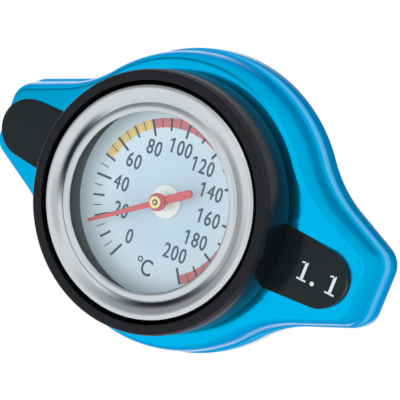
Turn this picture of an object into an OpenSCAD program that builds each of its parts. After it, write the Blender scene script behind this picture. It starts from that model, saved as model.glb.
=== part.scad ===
// Radiator cap with a dial thermometer: winged cover, gauge, bayonet shell and valve group.
// Millimetres, +Z up along the cap axis, z = 0 on the filler neck rim, +X along one wing.

/* [Cover] */
// radius of the round part of the cover
cover_r = 28.2; // [27.8:0.1:30]
// half of the length over both wings
wing_half = 41.2; // [40.4:0.2:46]
// angle of a wing side to the wing axis
wing_flare = 23.6; // [21:0.2:26]
// distance from the cap axis to the line of a wing side
wing_side = 22.5; // [21.8:0.1:23.6]
// radius of the hollow between the round part and a wing
wing_fillet = 24; // [20:1:30]
// corner radius of a wing tip
wing_corner = 4.2; // [4:0.1:5.5]
// slope of the cover's top, down from the cup
deck_slope = 6.5; // [4:0.5:8]
// width of the rounded shoulder
shoulder_w = 2; // [1.4:0.1:2.6]
// height of the rounded shoulder
shoulder_h = 5; // [4.4:0.1:5.4]
// height of the upright wall under the shoulder
wall_h = 4; // [3.6:0.1:4.4]
// how far the lower flange stands out
ledge_out = 0.4; // [0.2:0.05:0.7]
// depth of the cover under the neck rim
cover_drop = 7.5; // [7.3:0.1:9]

/* [Gauge cup] */
// height of the cup over the cover's top
cup_h = 8.8; // [8.6:0.1:10]
// how much wider the cup is at its foot
cup_flare = 0.5; // [0.2:0.05:0.7]
// width of the cup's flat rim
rim_w = 1.65; // [1.4:0.05:1.9]
// width of the dark groove round the bezel
groove_w = 0.8; // [0.5:0.05:1]
// half width of a wing inlay at the cup
inlay_w = 6.37; // [5.6:0.05:6.8]
// how far an inlay stands over the cover's top
inlay_rise = 0.2; // [0.1:0.05:0.6]

/* [Gauge] */
// outer radius of the bezel
bezel_r = 21.55; // [21.4:0.05:21.8]
// width of the bezel's front, from its edge to its opening
bezel_w = 4.95; // [4.4:0.05:5.4]
// wall of the spacer round the dial
spacer_w = 1.25; // [0.9:0.05:1.6]
// thickness of the glass
lens_t = 1.2; // [1:0.05:1.4]
// length of the pointer from the spindle to its tip
pointer_len = 15.2; // [13:0.1:16]
// length of the pointer's tail
tail_len = 7.3; // [5:0.1:9]
// pointer rest angle from +X
pointer_rest = -143; // [-170:1:-120]

/* [Probe] */
// outer radius of the probe tube
stem_r = 3; // [2.8:0.05:3.1]
// length of the probe under the valve
probe_len = 20.4; // [16:0.2:34]
// turns of the bimetal helix
helix_turns = 14; // [10:1:16]

/* [Bayonet shell] */
// outer radius of the shell
shell_r = 26; // [25.8:0.05:26.2]
// sheet thickness of the shell
shell_t = 1; // [0.8:0.05:1.1]
// how far an ear reaches inwards
ear_reach = 4.2; // [3:0.1:5]
// angle an ear covers
ear_arc = 44; // [30:1:60]

/* [Valve group] */
// outer radius of the neck gasket
neck_gasket_r = 20.5; // [19:0.1:20.8]
// thickness of the neck gasket
neck_gasket_t = 1.4; // [1.3:0.05:1.8]
// length of the pressure spring when shut
spring_h = 8; // [7.6:0.1:9.5]
// wire diameter of the pressure spring
spring_wire = 1.3; // [1.1:0.05:1.4]
// lift of the pressure valve
valve_lift = 2.5; // [1.5:0.1:3]
// outer radius of the valve gasket
valve_gasket_r = 14; // [13.6:0.1:15]
// length of the vacuum spring when shut
vac_spring_h = 3.4; // [3.2:0.05:4]

/* [Hidden] */
$fn = 96;
// running fit and seating gap
fit = 0.06;
seat = 0.05;

// press fit of the pointer group and loose fit of the clip
press = 0.01;
clip_fit = 0.02;

// heights from the neck rim up
disc_t = 0.4;
washer_space = 0.4;
shell_gap = 0.2;
floor_t = 1.2;
deck_rise = 2.8;
case_gap = 0.1;
case_t = 0.6;
dial_t = 0.4;
dial_rise = 2.8;
disc_z = neck_gasket_t;
shell_z = disc_z + disc_t + washer_space;
shell_top = shell_z + shell_t;
floor_z = shell_top + shell_gap;
floor_top = floor_z + floor_t;
deck_z = floor_z + deck_rise;
inlay_top = deck_z + inlay_rise;
case_z = floor_top + case_gap;
dial_top = case_z + dial_rise;
rim_top = deck_z + cup_h;
wall_top = deck_z - shoulder_h;
ledge_z = wall_top - wall_h;
cover_z = -cover_drop;

// heights of the gauge front, from the rim down
lens_drop = 0.8;
seal_t = 0.5;
flange_t = 0.6;
bezel_top = rim_top;
lens_top = bezel_top - lens_drop;
lens_z = lens_top - lens_t;
seal_z = lens_z - seal_t;
flange_z = seal_z - flange_t;

// pointer heights, from the dial up
pointer_rise = 3;
pointer_t = 0.4;
hub_h = 0.95;
boss_h = 0.5;
pointer_z = dial_top + pointer_rise;
hub_top = pointer_z + hub_h;
boss_top = hub_top + boss_h;

// radii of the cup and of the gauge
spigot_w = 1.2;
case_inset = 1.15;
case_wall = 0.7;
lens_inset = 0.65;
corner_keep = 0.4;
cup_bore = bezel_r + groove_w;
cup_r = cup_bore + rim_w;
foot_r = cup_r + cup_flare;
spigot_r = cup_bore + spigot_w;
deck_r = spigot_r + seat;
case_r = bezel_r - case_inset;
case_in = case_r - case_wall;
lens_r = bezel_r - lens_inset;
lip_r = bezel_r - bezel_w;
spacer_r = case_in - seat - spacer_w;
corner_r = max(wing_corner, shoulder_w + corner_keep);

// rolled bezel
bezel_skin = 0.4;
bezel_bead = 0.75;
bezel_flat = 1.7;
channel_d = 0.3;
channel_slope = 0.35;
lip_w = 1.2;
lip_round = 0.25;
lip_drop = 0.1;
skirt_drop = 0.5;

// dial, pointer and bushes
dial_bore = 1.3;
dial_washer_r = 3.1;
dial_washer_t = 0.4;
hub_r = 1.65;
boss_r = 1.3;
blade_w = 0.53;
tip_r = 0.32;
tail_w = 0.78;
bush_h = 1.6;
nose_r = 1.25;
nose_h = 0.7;
spindle_r = 0.5;
hub_disc_t = 0.8;
hub_disc_gap = 0.35;
lower_bush_gap = 1.2;
lower_bush_h = 1.4;

// heights of the valve group, down from the neck rim
cage_t = 0.8;
cage_r = 12.7;
rivet_w = 1.5;
hat_t = 0.75;
lift_gap = 0.4;
snap_t = 0.7;
plate_t = 0.8;
vgasket_t = 2.2;
bead_h = 1;
vdisc_t = 0.75;
clip_t = 0.6;
sleeve_end = 0.4;
sleeve_w = 1;
stem_wall = 0.45;
collar_t = 0.9;
rivet_r = stem_r + rivet_w;
seat_z = disc_z - cage_t;
rim_seat = seat_z - spring_h;
hat_z = rim_seat - hat_t;
hook_top = hat_z - seat;
hook_z = hook_top - cage_t;
lip_top = hook_z - valve_lift - lift_gap;
plate_top = lip_top - snap_t;
plate_z = plate_top - plate_t;
vgasket_z = plate_z - vgasket_t;
vdisc_top = vgasket_z - seat;
vdisc_z = vdisc_top - vdisc_t;
clip_z = plate_top + vac_spring_h;
sleeve_top = clip_z + clip_t + sleeve_end;
sleeve_r = stem_r + sleeve_w;
stem_tip = vgasket_z - probe_len;
stem_in = stem_r - stem_wall;
stem_top = case_z + case_t + collar_t;

// radii and edges of the valve group
washer_w = 4;
disc_over = 0.3;
neck_gasket_w = 6;
hook_w = 1.5;
window_arc = 78;
window_drop = 1.4;
hat_neck_r = 8.4;
hat_wall = 0.8;
hat_foot_r = 5.7;
hat_gap = 0.4;
plate_inset = 1.4;
vgasket_bore = 5.6;
bead_w = 4.8;
bead_round = 0.4;
snap_w = 2.8;
vdisc_r = 8;
vdisc_edge = 0.3;
vdisc_bevel = 0.4;
clip_groove = 0.4;
clip_w = 1.4;
clip_slot = 1.6;

// shell, rivet and probe details
shell_lift = 0.3;
shell_round = 0.8;
rivet_head_t = 1;
rivet_head_w = 1.9;
rivet_foot = 0.9;
rivet_flare = 1.7;
rivet_pocket = 1.1;
floor_hole = 2.7;
collar_w = 2;
tip_round = 1;
oring_wire = 1;
oring_gap = 0.05;

// bimetal helix and springs
hub_disc_rise = 2;
anchor_h = 3.2;
helix_inset = 0.95;
helix_wire = 0.5;
spring_mid = 9.4;
spring_turns = 2.75;
vac_wire = 0.4;
vac_gap = 0.75;
vac_turns = 3;
hub_disc_z = plate_z + hub_disc_rise;
anchor_top = stem_tip + anchor_h;
helix_r = stem_in - helix_inset;
vac_mid = sleeve_r + vac_gap;

// cover, wing hollows and inlays
foot_in = 0.3;
foot_rise = 0.4;
ledge_rise = 0.6;
wing_wall = 2.2;
hollow_gap = 1.9;
rib_w = 1.6;
inlay_lift = 0.1;
inlay_fit = 0.12;
inlay_margin = 2.3;
inlay_root = 4;

// outline of the cover: point and outward normal, a quarter and then the rest
side_n = [sin(wing_flare), cos(wing_flare)];
side_u = [cos(wing_flare), -sin(wing_flare)];
n_dir = 90 - wing_flare;
hollow_t = sqrt(pow(cover_r + wing_fillet, 2) - pow(wing_side + wing_fillet, 2));
hollow_c = (wing_side + wing_fillet) * side_n + hollow_t * side_u;
hollow_dir = atan2(hollow_c[1], hollow_c[0]);
corner_x = wing_half - corner_r;
corner_c = [corner_x, (wing_side - corner_r - side_n[0] * corner_x) / side_n[1]];

function dir2(a) = [cos(a), sin(a)];
function arc_pt(c, r, a, s) = let (d = dir2(a)) [c[0] + r * d[0], c[1] + r * d[1], s * d[0], s * d[1]];
quarter = concat(
    [for (k = [0 : 5]) arc_pt(corner_c, corner_r, n_dir * k / 5, 1)],
    [for (k = [0 : 6]) arc_pt(hollow_c, wing_fillet, 180 + n_dir + (hollow_dir - n_dir) * k / 6, -1)],
    [for (k = [1 : 8]) arc_pt([0, 0], cover_r, hollow_dir + (90 - hollow_dir) * k / 8, 1)]
);
last_q = len(quarter) - 1;
half_ring = concat(quarter,
    [for (k = [last_q - 1 : -1 : 0]) let (p = quarter[k]) [-p[0], p[1], -p[2], p[3]]]);
outline = concat(half_ring, [for (p = half_ring) -p]);

// cover profile: inset from the outline, height at the cup and share of the top's slope
shoulder_steps = 8;
profile = concat(
    [[foot_in - ledge_out, cover_z, 0], [-ledge_out, cover_z + foot_rise, 0]],
    [[-ledge_out, ledge_z - ledge_rise, 0], [0, ledge_z, 0]],
    [for (k = [0 : shoulder_steps]) let (a = 90 * k / shoulder_steps)
        [shoulder_w * (1 - cos(a)), wall_top + shoulder_h * sin(a), 1]]
);

// height of the sloped top over a plan point, against its height at the cup
function slope_drop(x, y) = tan(deck_slope) * (norm([x, y]) - deck_r);
function inset_ring(d, z, share) = [for (p = outline) let (x = p[0] - d * p[2], y = p[1] - d * p[3])
    [x, y, z - share * slope_drop(x, y)]];
function inset_flat(d) = [for (p = outline) [p[0] - d * p[2], p[1] - d * p[3]]];

// closed skin over rings of equal count, with a middle point in each end
function middle(ring) = [for (i = [0 : 2]) [for (p = ring) p[i]] * [for (p = ring) 1 / len(ring)]];
module skin(rings, peak = 0) {
    n = len(rings[0]);
    m = len(rings);
    top = middle(rings[m - 1]);
    pts = concat([for (r = rings) for (p = r) p],
        [middle(rings[0]), peak == 0 ? top : [top[0], top[1], peak]]);
    sides = [for (j = [0 : m - 2]) for (i = [0 : n - 1])
        let (a = j * n + i, b = j * n + (i + 1) % n)
        for (f = [[a, a + n, b], [b, a + n, b + n]]) f];
    low_end = [for (i = [0 : n - 1]) [m * n, i, (i + 1) % n]];
    high_end = [for (i = [0 : n - 1]) [m * n + 1, (m - 1) * n + (i + 1) % n, (m - 1) * n + i]];
    polyhedron(points = pts, faces = concat(sides, low_end, high_end), convexity = 8);
}

// wound wire: rings of a tube along a helix that drops from top to bottom
function coil_mid(t, r, top, fall, turns, turn0) =
    [r * cos(turn0 + 360 * turns * t), r * sin(turn0 + 360 * turns * t), top - fall * t];
function coil_ring(t, r, w, top, fall, turns, sides, turn0) =
    let (a = turn0 + 360 * turns * t,
         lead = atan2(fall, 2 * PI * r * turns),
         c = coil_mid(t, r, top, fall, turns, turn0),
         u = [cos(a), sin(a), 0],
         v = [-sin(a) * sin(lead), cos(a) * sin(lead), cos(lead)])
    [for (k = [0 : sides - 1]) c + w * (cos(360 * k / sides) * u + sin(360 * k / sides) * v)];
module coil(r, wire, top, bottom, turns, per_turn, sides, turn0 = 0) {
    w = wire / 2;
    steps = ceil(turns * per_turn);
    skin([for (k = [0 : steps])
        coil_ring(k / steps, r, w, top - w, top - bottom - wire, turns, sides, turn0)]);
}
// least gap of a wound wire to itself, over points at least half a turn apart
function coil_gap(r, wire, top, bottom, turns, per_turn) =
    let (steps = ceil(turns * per_turn),
         mids = [for (k = [0 : steps]) coil_mid(k / steps, r, top, top - bottom - wire, turns, 0)])
    min([for (i = [0 : steps]) for (j = [i + per_turn / 2 : steps]) norm(mids[i] - mids[j])]) - wire;
echo(pressure_spring_gap = coil_gap(spring_mid, spring_wire, seat_z, rim_seat, spring_turns, 16));
echo(vacuum_spring_gap = coil_gap(vac_mid, vac_wire, clip_z, plate_top, vac_turns, 16));
echo(helix_gap = coil_gap(helix_r, helix_wire, hub_disc_z, anchor_top, helix_turns, 8));

module tube(r_out, r_in, z0, z1) {
    translate([0, 0, z0]) difference() {
        cylinder(h = z1 - z0, r = r_out);
        translate([0, 0, -1]) cylinder(h = z1 - z0 + 2, r = r_in);
    }
}
// wedge of a given angle about +X, as tall as z0 to z1
module wedge(angle, reach, z0, z1) {
    h = reach * tan(angle / 2);
    translate([0, 0, z0]) linear_extrude(height = z1 - z0)
        polygon([[0, 0], [reach, -h], [reach, h]]);
}

// plan of one wing inlay: straight tapered sides that run into a round end
inlay_taper = 4.52;
inlay_x = 24;
inlay_tip = wing_half - inlay_margin;
inlay_end = (cos(inlay_taper) * inlay_w - sin(inlay_taper) * (inlay_tip - inlay_x))
    / (1 - sin(inlay_taper));
inlay_c = inlay_tip - inlay_end;
module inlay_plan(grow) {
    e = inlay_end + grow;
    w0 = inlay_w + tan(inlay_taper) * inlay_root + grow / cos(inlay_taper);
    tx = inlay_c + e * sin(inlay_taper);
    ty = e * cos(inlay_taper);
    polygon([[inlay_x - inlay_root, -w0], [tx, -ty], [tx, ty], [inlay_x - inlay_root, w0]]);
    translate([inlay_c, 0]) circle(r = e);
}
// the same plan for the pocket in the cover, with its round end in flats so that it cuts cleanly
module inlay_pocket(grow) {
    e = inlay_end + grow;
    w0 = inlay_w + tan(inlay_taper) * inlay_root + grow / cos(inlay_taper);
    turn = 90 - inlay_taper;
    polygon(concat([[inlay_x - inlay_root, w0], [inlay_x - inlay_root, -w0]],
        [for (k = [-9 : 9]) [inlay_c + e * cos(turn * k / 9), e * sin(turn * k / 9)]]));
}

module wing_cover() {
    color("#0093cf") difference() {
        skin([for (q = profile) inset_ring(q[0], q[1], q[2])], deck_z + tan(deck_slope) * deck_r);
        translate([0, 0, cover_z - 1]) cylinder(h = shell_top + seat - cover_z + 1, r = shell_r + seat);
        cylinder(h = rim_top, r = spigot_r + seat);
        for (s = [0, 180]) rotate(s) translate([0, 0, floor_z + inlay_lift - seat])
            linear_extrude(height = rim_top) inlay_pocket(inlay_fit);
        for (s = [0, 180]) rotate(s) translate([0, 0, cover_z - 1])
            linear_extrude(height = wall_top - cover_z) wing_hollow();
    }
}
// hollow under a wing, split by a rib along the wing axis
module wing_hollow() {
    difference() {
        intersection() {
            polygon(inset_flat(wing_wall));
            translate([0, -cover_r]) square([wing_half, 2 * cover_r]);
        }
        circle(r = shell_r + hollow_gap);
        translate([0, -rib_w / 2]) square([wing_half, rib_w]);
    }
}

module gauge_cup() {
    color("#26292c") {
        difference() {
            union() {
                translate([0, 0, deck_z]) cylinder(h = cup_h, r1 = foot_r, r2 = cup_r);
                translate([0, 0, floor_z]) cylinder(h = deck_z - floor_z, r = spigot_r);
                for (s = [0, 180]) rotate(s) translate([0, 0, floor_z + inlay_lift])
                    linear_extrude(height = inlay_top - floor_z - inlay_lift) inlay_plan(0);
            }
            translate([0, 0, floor_top]) cylinder(h = rim_top, r = cup_bore);
            translate([0, 0, floor_z - 1]) cylinder(h = floor_t + 2, r = rivet_r + floor_hole);
        }
    }
}

module gauge_case() {
    low_r = spacer_r + case_wall;
    color("#8d9194") rotate_extrude() polygon([
        [stem_r + seat, case_z], [low_r, case_z], [low_r, dial_top - dial_t - case_t],
        [case_r, dial_top - dial_t - case_t], [case_r, flange_z], [lens_r, flange_z], [lens_r, seal_z],
        [case_in, seal_z], [case_in, dial_top - dial_t], [spacer_r, dial_top - dial_t],
        [spacer_r, case_z + case_t], [stem_r + seat, case_z + case_t]]);
}

// rolled steel bezel: skirt, round shoulder, channel and raised lip
module bezel_ring() {
    r0 = bezel_r;
    low = flange_z - skirt_drop;
    under = lens_top + seat;
    groove = bezel_top - channel_d;
    lip_top_z = bezel_top - lip_drop;
    color("#c6cacd") rotate_extrude() polygon(concat(
        [[r0 - bezel_skin, low], [r0, low]],
        [for (k = [0 : 6])
            [r0 - bezel_bead * (1 - cos(15 * k)), bezel_top - bezel_bead * (1 - sin(15 * k))]],
        [[r0 - bezel_flat, bezel_top], [r0 - bezel_flat - channel_slope, groove], [lip_r + lip_w, groove],
         [lip_r + lip_w - lip_round, lip_top_z], [lip_r + lip_round, lip_top_z], [lip_r, groove],
         [lip_r, under], [r0 - bezel_skin, under]]));
}

module glass_lens() {
    color([0.86, 0.93, 0.96, 0.35]) translate([0, 0, lens_z]) cylinder(h = lens_t, r = lens_r);
}
module lens_gasket() {
    color("#1c1d1f") tube(lens_r, spacer_r, seal_z, lens_z);
}
module spacer_ring() {
    color("#43494f") tube(case_in - seat, spacer_r, dial_top, seal_z);
}
module dial_plate() {
    color("#c2d5e4") tube(case_in - seat, dial_bore, dial_top - dial_t, dial_top);
}
module dial_washer() {
    color("#e9eef1") tube(dial_washer_r, dial_bore, dial_top, dial_top + dial_washer_t);
}
module upper_bush() {
    z0 = stem_top - bush_h;
    color("#c9a659") difference() {
        union() {
            translate([0, 0, z0]) cylinder(h = bush_h, r = stem_in - seat);
            translate([0, 0, z0]) cylinder(h = dial_top + nose_h - z0, r = nose_r);
        }
        translate([0, 0, z0 - 1]) cylinder(h = rim_top - z0, r = spindle_r + fit);
    }
}

// pointer blade: round tail, round hub and a blade that narrows to a round tip
module pointer() {
    color("#cf4f57") rotate(pointer_rest) translate([0, 0, pointer_z]) difference() {
        union() {
            linear_extrude(height = pointer_t) {
                polygon([[0, -blade_w], [pointer_len - tip_r, -tip_r],
                    [pointer_len - tip_r, tip_r], [0, blade_w]]);
                translate([pointer_len - tip_r, 0]) circle(r = tip_r, $fn = 32);
                translate([tail_w - tail_len, -tail_w]) square([tail_len - tail_w, 2 * tail_w]);
                translate([tail_w - tail_len, 0]) circle(r = tail_w, $fn = 32);
            }
            cylinder(h = hub_h, r = hub_r);
        }
        translate([0, 0, -1]) cylinder(h = hub_h + 2, r = spindle_r + press);
    }
}
module pointer_boss() {
    color("#e3c27a") tube(boss_r, spindle_r + press, hub_top, boss_top);
}
module pointer_spindle() {
    color("#b9bcbe") {
        translate([0, 0, hub_disc_z]) cylinder(h = boss_top - hub_disc_z, r = spindle_r);
        translate([0, 0, hub_disc_z]) cylinder(h = hub_disc_t, r = stem_in - hub_disc_gap);
    }
}
module lower_bush() {
    z0 = hub_disc_z + lower_bush_gap;
    color("#c9a659") tube(stem_in - seat, spindle_r + fit, z0, z0 + lower_bush_h);
}
module bimetal_helix() {
    color("#a9844f") coil(helix_r, helix_wire, hub_disc_z, anchor_top, helix_turns, 8, 6);
}
module stem_tube() {
    color("#b9bdc0") difference() {
        union() {
            translate([0, 0, stem_tip + tip_round])
                cylinder(h = stem_top - stem_tip - tip_round, r = stem_r);
            translate([0, 0, case_z + case_t]) cylinder(h = collar_t, r = stem_r + collar_w);
        }
        translate([0, 0, stem_tip]) cylinder(h = stem_top - stem_tip + 1, r = stem_in);
    }
}
// rounded plug that closes the probe, with the post that holds the helix
module stem_plug() {
    color("#b9bdc0") {
        rotate_extrude() polygon(concat(
            [[0, stem_tip]],
            [for (k = [0 : 6])
                [stem_r - tip_round * (1 - sin(15 * k)), stem_tip + tip_round * (1 - cos(15 * k))]],
            [[stem_in - seat, stem_tip + tip_round], [stem_in - seat, anchor_top], [0, anchor_top]]));
    }
}
module stem_oring() {
    out = oring_wire / 2 + oring_gap;
    color("#1c1d1f") rotate_extrude()
        translate([stem_r + out, shell_top + out]) circle(r = oring_wire / 2, $fn = 32);
}

module cap_shell() {
    z0 = cover_z + shell_lift;
    b = shell_round;
    color("#b4b8b9") {
        rotate_extrude() polygon([
            [rivet_r + seat, shell_z], [shell_r - shell_t - b, shell_z], [shell_r - shell_t, shell_z - b],
            [shell_r - shell_t, z0], [shell_r, z0], [shell_r, shell_top - b], [shell_r - b, shell_top],
            [rivet_r + seat, shell_top]]);
        for (s = [0, 180]) rotate(s) intersection() {
            tube(shell_r - shell_t / 2, shell_r - shell_t - ear_reach, z0, z0 + shell_t);
            wedge(ear_arc, shell_r, z0 - 1, z0 + 3);
        }
    }
}
module centre_rivet() {
    z0 = seat_z - rivet_foot;
    color("#c2a35a") difference() {
        union() {
            translate([0, 0, shell_top]) cylinder(h = rivet_head_t, r = rivet_r + rivet_head_w);
            translate([0, 0, z0]) cylinder(h = shell_top - z0, r = rivet_r);
            translate([0, 0, z0]) cylinder(h = rivet_foot - seat, r = rivet_r + rivet_flare);
        }
        translate([0, 0, z0 - 1]) cylinder(h = rim_top - z0, r = stem_r + fit);
        translate([0, 0, shell_top]) cylinder(h = rivet_head_t + 1, r = stem_r + rivet_pocket);
    }
}
module swivel_washer() {
    color("#d9d4c4") tube(rivet_r + washer_w, rivet_r + seat, disc_z + disc_t + seat, shell_z - seat);
}
module diaphragm_disc() {
    color("#c9cdcf") tube(neck_gasket_r + disc_over, rivet_r + fit, disc_z, disc_z + disc_t);
}
module neck_gasket() {
    color("#1f2022") tube(neck_gasket_r, neck_gasket_r - neck_gasket_w, 0, neck_gasket_t);
}

// drawn cage with three windows and an inward lip that holds the spring hat
module spring_cage() {
    w = cage_r - cage_t;
    color("#aeb2b3") difference() {
        rotate_extrude() polygon([
            [rivet_r + fit, seat_z], [w, seat_z], [w, hook_top],
            [w - hook_w, hook_top], [w - hook_w, hook_z],
            [cage_r, hook_z], [cage_r, disc_z], [rivet_r + fit, disc_z]]);
        for (k = [0 : 2]) rotate(60 + 120 * k)
            wedge(window_arc, 2 * cage_r, hook_z - 1, seat_z - window_drop);
    }
}
module pressure_spring() {
    color("#9fa4a6") coil(spring_mid, spring_wire, seat_z, rim_seat, spring_turns, 16, 8);
}
// hat that carries the spring: rim, neck and foot
module spring_hat() {
    r = cage_r - cage_t - hat_gap;
    neck_in = hat_neck_r - hat_wall;
    foot_top = plate_top + hat_t;
    color("#aeb2b3") rotate_extrude() polygon([
        [neck_in, rim_seat], [neck_in, foot_top], [hat_foot_r, foot_top], [hat_foot_r, plate_top],
        [hat_neck_r, plate_top], [hat_neck_r, hat_z], [r, hat_z], [r, rim_seat]]);
}
module valve_plate() {
    color("#c0c3c4") tube(valve_gasket_r - plate_inset, sleeve_r + fit, plate_z, plate_top);
}
// moulded gasket that snaps over the plate's edge, with a raised sealing bead round the vacuum disc
module valve_gasket() {
    r = valve_gasket_r;
    bead_z = vgasket_z - bead_h;
    groove_r = r - plate_inset + seat;
    color("#1f2022") rotate_extrude() polygon([
        [vgasket_bore, vgasket_z], [r - bead_w, vgasket_z], [r - bead_w + bead_round, bead_z],
        [r - bead_round, bead_z], [r, bead_z + bead_round],
        [r, lip_top - bead_round], [r - bead_round, lip_top],
        [r - snap_w, lip_top], [r - snap_w, plate_top], [groove_r, plate_top], [groove_r, plate_z],
        [vgasket_bore, plate_z]]);
}
module vacuum_disc() {
    bore = stem_r + fit;
    groove_r = sleeve_r - clip_groove;
    color("#c9a659") rotate_extrude() polygon([
        [bore, vdisc_z], [vdisc_r - vdisc_bevel, vdisc_z], [vdisc_r, vdisc_z + vdisc_edge],
        [vdisc_r, vdisc_top], [sleeve_r, vdisc_top], [sleeve_r, clip_z], [groove_r, clip_z],
        [groove_r, clip_z + clip_t], [sleeve_r, clip_z + clip_t],
        [sleeve_r, sleeve_top], [bore, sleeve_top]]);
}
module vacuum_spring() {
    color("#9fa4a6") coil(vac_mid, vac_wire, clip_z, plate_top, vac_turns, 16, 6);
}
module vacuum_clip() {
    r = sleeve_r + clip_w;
    color("#9a9ea0") difference() {
        tube(r, sleeve_r - clip_groove + clip_fit, clip_z + clip_fit, clip_z + clip_t - clip_fit);
        translate([0, -clip_slot / 2, clip_z - 1]) cube([2 * r, clip_slot, clip_t + 2]);
    }
}

wing_cover();
gauge_cup();
gauge_case();
bezel_ring();
glass_lens();
lens_gasket();
spacer_ring();
dial_plate();
dial_washer();
upper_bush();
pointer();
pointer_boss();
pointer_spindle();
lower_bush();
bimetal_helix();
stem_tube();
stem_plug();
stem_oring();
cap_shell();
centre_rivet();
swivel_washer();
diaphragm_disc();
neck_gasket();
spring_cage();
pressure_spring();
spring_hat();
valve_plate();
valve_gasket();
vacuum_disc();
vacuum_spring();
vacuum_clip();
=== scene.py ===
import math

import bpy
from mathutils import Matrix, Vector
from mathutils.kdtree import KDTree


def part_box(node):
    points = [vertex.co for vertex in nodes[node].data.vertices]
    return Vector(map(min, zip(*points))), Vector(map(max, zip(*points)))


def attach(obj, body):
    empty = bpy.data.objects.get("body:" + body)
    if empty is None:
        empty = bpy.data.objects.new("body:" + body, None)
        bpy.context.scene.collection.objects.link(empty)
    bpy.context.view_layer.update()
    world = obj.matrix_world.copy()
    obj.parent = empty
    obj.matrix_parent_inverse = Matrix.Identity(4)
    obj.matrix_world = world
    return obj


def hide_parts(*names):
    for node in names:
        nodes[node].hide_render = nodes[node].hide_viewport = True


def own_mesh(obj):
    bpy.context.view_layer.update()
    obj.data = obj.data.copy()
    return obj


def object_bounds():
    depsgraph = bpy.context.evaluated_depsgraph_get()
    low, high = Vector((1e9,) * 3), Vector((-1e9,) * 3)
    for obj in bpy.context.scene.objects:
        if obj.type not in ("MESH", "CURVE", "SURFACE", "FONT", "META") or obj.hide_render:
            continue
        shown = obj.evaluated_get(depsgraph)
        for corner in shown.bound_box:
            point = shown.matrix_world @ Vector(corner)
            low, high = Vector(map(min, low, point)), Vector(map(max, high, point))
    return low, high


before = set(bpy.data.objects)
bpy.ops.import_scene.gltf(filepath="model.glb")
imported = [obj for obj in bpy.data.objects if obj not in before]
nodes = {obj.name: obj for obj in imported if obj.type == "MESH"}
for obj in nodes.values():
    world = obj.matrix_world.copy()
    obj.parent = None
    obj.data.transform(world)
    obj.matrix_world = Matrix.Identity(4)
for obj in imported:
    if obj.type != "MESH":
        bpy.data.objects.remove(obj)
cad_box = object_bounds()
MM = 0.001
SPIGOT_H = 2.8


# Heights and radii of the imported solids, in millimetres

def low(node):
    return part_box(node)[0].z / MM


def high(node):
    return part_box(node)[1].z / MM


def reach(node):
    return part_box(node)[1].x / MM


rim_top = high("gauge_cup")
dial_face = high("dial_plate")
cup_floor = low("gauge_cup")
deck = cup_floor + SPIGOT_H
cover_low = low("wing_cover")
glass_low, glass_high = low("glass_lens"), high("glass_lens")
blade_low = low("pointer")

# Plan of the winged cover
COVER_R = 28.2
WING_HALF = 41.2
WING_FLARE = math.radians(23.6)
WING_SIDE = 22.5
HOLLOW_R = 24.0
CORNER_R = 4.2
LEDGE_OUT = 0.4
WALL_IN = 0.25
SHOULDER_W = 2.0
SHOULDER_H = 5.6
DOME_START = 25.2
DOME_FALL = 0.2
DOME_SOFT = 5.0
SHELL_SPACE_R = 26.05
SHELL_SPACE_TOP = 3.25
WING_ROOF = -0.4
# One of the two hollows under each wing, beside the rib on its middle
WING_HOLLOW = ((27.9, 0.8), (39.0, 0.8), (39.0, 4.2), (37.6, 5.7), (29.2, 9.3), (27.0, 8.0))

# Gauge cup, inlays and dial
CUP_BORE = 22.35
CUP_RIM_R = 24.0
CUP_FOOT_R = 24.5
CUP_HOLE_R = 7.2
CUP_FLOOR_T = 1.2
SPIGOT_R = 23.55
# Radius and depth below the rim along the cup's upper edge, with its two fine grooves
CUP_EDGE = (
    (24.42, 1.5), (24.2, 1.42), (24.2, 1.22), (24.38, 1.14), (24.34, 0.8),
    (24.12, 0.72), (24.12, 0.58), (24.24, 0.5), (24.2, 0.22), (CUP_RIM_R, 0.0),
)
INLAY_W = 6.37
INLAY_TAPER = math.radians(4.52)
INLAY_X = 24.0
INLAY_TIP = WING_HALF - 2.3
LIP_R = 16.6
DIAL_BORE = 1.3
TICK_OUT = 15.45
BAND_IN = 13.7
NUMERAL_R = 10.4
PRINT_T = 0.03
DEGREES_PER_UNIT = 1.5
ZERO_ANGLE = -116.0
DIAL_TILT = 5.0
POINTER_REST = -143.0
# Height of a capital letter as a share of the letter size, and how much the letters are thickened
CAPITAL = 0.73
THICKEN = 0.035
BOLD = 0.03
# Numerals that stand off their ticks to the left, in millimetres
SHIFT_LEFT = {"40": 0.4, "60": 0.5, "80": 0.65, "100": 0.45}


# Modelling helpers

def clear_selection():
    if bpy.context.object and bpy.context.object.mode != "OBJECT":
        bpy.ops.object.mode_set(mode="OBJECT")
    bpy.ops.object.select_all(action="DESELECT")


def activate(piece):
    clear_selection()
    piece.select_set(True)
    bpy.context.view_layer.objects.active = piece


def edit(piece):
    activate(piece)
    bpy.ops.object.mode_set(mode="EDIT")
    bpy.ops.mesh.select_all(action="SELECT")


def close_edit(piece, angle=35):
    bpy.ops.mesh.select_all(action="SELECT")
    bpy.ops.mesh.remove_doubles(threshold=1e-6)
    bpy.ops.mesh.normals_make_consistent(inside=False)
    bpy.ops.object.mode_set(mode="OBJECT")
    bpy.ops.object.shade_smooth_by_angle(angle=math.radians(angle))
    return piece


def ring_of(name, points):
    """A filled ring whose corners lie on points, in millimetres."""
    clear_selection()
    bpy.ops.mesh.primitive_circle_add(vertices=len(points), radius=0.01, fill_type="NGON")
    piece = bpy.context.object
    piece.name = name
    for vertex, point in zip(piece.data.vertices, points):
        vertex.co = Vector(point) * MM
    return piece


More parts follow.
